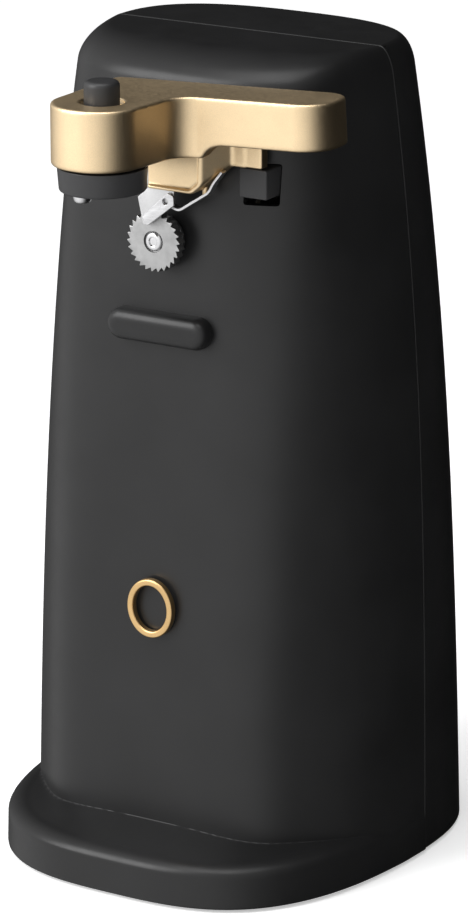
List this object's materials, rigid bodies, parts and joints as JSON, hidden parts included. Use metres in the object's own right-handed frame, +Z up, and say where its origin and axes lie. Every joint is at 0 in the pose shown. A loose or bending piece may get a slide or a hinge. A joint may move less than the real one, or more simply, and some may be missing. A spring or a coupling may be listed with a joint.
{
  "type": "electric can opener",
  "caption": "Tall electric can opener with a flared base, a press lever carrying a cutter and floating magnet, and a toothed drive wheel turned by a geared motor.",
  "frame": {"origin": "on the table, under the centre of the whole outline (housing and lever together)", "axes": "+Z up, the front with the drive wheel faces -Y, +X to the right seen from the front, where the press lever reaches out"},
  "size_m": [0.1236, 0.148, 0.24],
  "materials": {
    "black_shell": "satin black moulding",
    "black_trim": "matte black",
    "gold": "satin champagne gold plating",
    "steel": "fine brushed",
    "dark_steel": "plain rolled",
    "nylon": "natural moulded",
    "copper": "enamelled winding",
    "brass": "turned",
    "rubber": "matte"
  },
  "bodies": {
    "housing": {"front_shell": "black_shell", "rear_shell": "black_shell", "bottom_cover": "black_trim", "can_rest": "black_trim", "badge_ring": "gold", "cord_inlet": "rubber", "lever_pin": "dark_steel", "pivot_collar": "steel", "lever_spring": "dark_steel", "wheel_bushing": "brass", "front_plate": "dark_steel", "rear_plate": "dark_steel", "middle_axle": "steel", "stator_core": "dark_steel", "motor_coil": "copper", "front_bracket": "steel", "rear_bracket": "steel", "switch_body": "black_trim", "switch_button": "nylon", "foot_1": "rubber", "cover_screw_1": "dark_steel", "plate_post_1": "steel", "foot_2": "rubber", "cover_screw_2": "dark_steel", "plate_post_2": "steel", "foot_3": "rubber", "cover_screw_3": "dark_steel", "plate_post_3": "steel", "foot_4": "rubber", "cover_screw_4": "dark_steel", "plate_post_4": "steel", "motor_bolt_1": "dark_steel", "motor_bolt_2": "dark_steel"},
    "lever_arm": {"lever": "gold", "cutter_blade": "steel", "cutter_edge": "steel", "cutter_screw": "dark_steel", "can_guide": "steel", "guide_peg": "gold"},
    "magnet_unit": {"magnet_post": "black_trim", "magnet_holder": "black_trim", "magnet": "steel", "magnet_screw": "dark_steel"},
    "plunger": {"switch_plunger": "black_trim"},
    "drive": {"drive_wheel": "steel", "wheel_screw": "steel", "drive_shaft": "steel", "drive_gear": "nylon"},
    "middle": {"middle_gear": "nylon"},
    "motor_rotor": {"motor_pinion": "brass", "motor_shaft": "steel", "rotor": "dark_steel", "motor_fan": "black_trim"}
  },
  "joints": [
    {"name": "lever_hinge", "type": "hinge", "parent": "housing", "child": "lever_arm", "pos_m": [-0.008, -0.02767, 0.226], "axis": [0, -1, 0], "range_deg": [-0.6, 25]},
    {"name": "magnet_slide", "type": "slide", "parent": "lever_arm", "child": "magnet_unit", "axis": [0, 0, 1], "range_m": [-0.004, 0], "stiffness_N_per_m": 400, "springref_m": 0.003},
    {"name": "plunger_slide", "type": "slide", "parent": "housing", "child": "plunger", "axis": [0, 0, -1], "range_m": [0, 0.0025], "stiffness_N_per_m": 400, "springref_m": -0.002},
    {"name": "drive_spin", "type": "hinge", "parent": "housing", "child": "drive", "pos_m": [0, -0.03167, 0.1886], "axis": [0, 1, 0], "continuous": true},
    {"name": "middle_spin", "type": "hinge", "parent": "housing", "child": "middle", "pos_m": [0, -0.01467, 0.1561], "axis": [0, 1, 0], "continuous": true},
    {"name": "motor_spin", "type": "hinge", "parent": "housing", "child": "motor_rotor", "pos_m": [0, 0.01033, 0.1321], "axis": [0, 1, 0], "continuous": true}
  ],
  "couplings": [
    {"joint": "middle_spin", "follows": "drive_spin", "ratio": -3.3333},
    {"joint": "motor_spin", "follows": "drive_spin", "ratio": 16.667}
  ]
}
